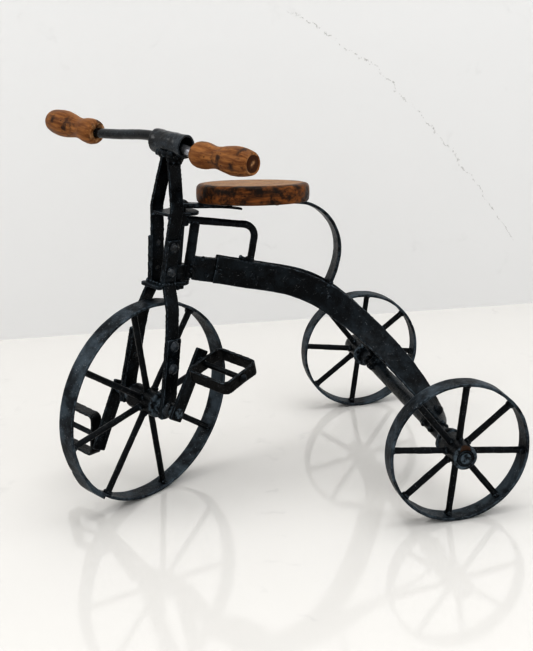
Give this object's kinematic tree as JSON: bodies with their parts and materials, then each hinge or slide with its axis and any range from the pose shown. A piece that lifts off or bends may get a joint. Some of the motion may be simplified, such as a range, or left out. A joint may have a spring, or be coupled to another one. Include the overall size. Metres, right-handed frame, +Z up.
{
  "type": "children's tricycle",
  "caption": "Small wrought-iron tricycle with a turned-handle bar, round wooden seat on a curled spring strap, pedals on the front wheel and a forked backbone to the rear axle.",
  "frame": {"origin": "on the floor under the middle of the overall box, as it stands with the front wheel turned left", "axes": "+Z up, -Y towards the front wheel, +X towards the rider's left"},
  "size_m": [0.354, 0.4372, 0.3812],
  "materials": {
    "black_iron": "lumpy semi-gloss black paint over forged iron, worn on the edges",
    "rim_iron": "worn slate-grey paint over flat band",
    "spoke_iron": "semi-gloss black paint",
    "turned_wood": "distressed brown lacquer",
    "seat_wood": "distressed brown lacquer, worn pale on top"
  },
  "bodies": {
    "frame": {"axle_collars": "black_iron", "axle_end_washers": "black_iron", "backbone_rivets": "black_iron", "backbone_strap_left": "black_iron", "backbone_strap_right": "black_iron", "backbone_tongue": "black_iron", "brace_rod": "black_iron", "head_eye": "black_iron", "head_rod": "black_iron", "rear_axle": "black_iron", "rear_beam": "black_iron", "seat": "seat_wood", "seat_leaf": "black_iron", "seat_screws": "black_iron", "seat_strap": "black_iron", "steering_pin": "black_iron", "steering_pin_nut": "black_iron", "strap_block": "black_iron", "strap_bolts": "black_iron", "tongue_eye": "black_iron"},
    "fork": {"axle_boss_left": "black_iron", "axle_boss_right": "black_iron", "blade_rivets_left": "black_iron", "blade_rivets_right": "black_iron", "doubler_rivets_left": "black_iron", "doubler_rivets_right": "black_iron", "fork_doubler_left": "black_iron", "fork_doubler_right": "black_iron", "fork_lower_bar_left": "black_iron", "fork_lower_bar_right": "black_iron", "fork_upper_bar_left": "black_iron", "fork_upper_bar_right": "black_iron", "grip_left": "turned_wood", "grip_right": "turned_wood", "handlebar": "black_iron", "handlebar_clamp": "black_iron", "yoke_plate_lower": "black_iron", "yoke_plate_upper": "black_iron"},
    "front_wheel": {"crank_left": "black_iron", "crank_right": "black_iron", "front_axle": "black_iron", "front_hub": "black_iron", "front_hub_spacers": "black_iron", "front_rim": "rim_iron", "front_spokes": "spoke_iron", "pedal_spindle_left": "black_iron", "pedal_spindle_right": "black_iron"},
    "pedal_left": {"pedal_band_left": "black_iron"},
    "pedal_right": {"pedal_band_right": "black_iron"},
    "rear_wheel_left": {"rear_hub_left": "black_iron", "rear_rim_left": "rim_iron", "rear_spokes_left": "spoke_iron"},
    "rear_wheel_right": {"rear_hub_right": "black_iron", "rear_rim_right": "rim_iron", "rear_spokes_right": "spoke_iron"}
  },
  "joints": [
    {"name": "steering", "type": "hinge", "parent": "frame", "child": "fork", "pos_m": [0, -0.11797, 0], "axis": [0, 0.1374, 0.9905], "range_deg": [-80, 10]},
    {"name": "front_wheel_spin", "type": "hinge", "parent": "fork", "child": "front_wheel", "pos_m": [0.01692, -0.12792, 0.10412], "axis": [0.8192, 0.5681, -0.0788], "continuous": true},
    {"name": "pedal_left_spin", "type": "hinge", "parent": "front_wheel", "child": "pedal_left", "pos_m": [0.06798, -0.05855, 0.14522], "axis": [0.8192, 0.5681, -0.0788], "continuous": true},
    {"name": "pedal_right_spin", "type": "hinge", "parent": "front_wheel", "child": "pedal_right", "pos_m": [-0.0367, -0.19391, 0.06078], "axis": [0.8192, 0.5681, -0.0788], "continuous": true},
    {"name": "rear_wheel_left_spin", "type": "hinge", "parent": "frame", "child": "rear_wheel_left", "pos_m": [0.1554, 0.14863, 0.07], "axis": [1, 0, 0], "continuous": true},
    {"name": "rear_wheel_right_spin", "type": "hinge", "parent": "frame", "child": "rear_wheel_right", "pos_m": [-0.1554, 0.14863, 0.07], "axis": [1, 0, 0], "continuous": true}
  ]
}
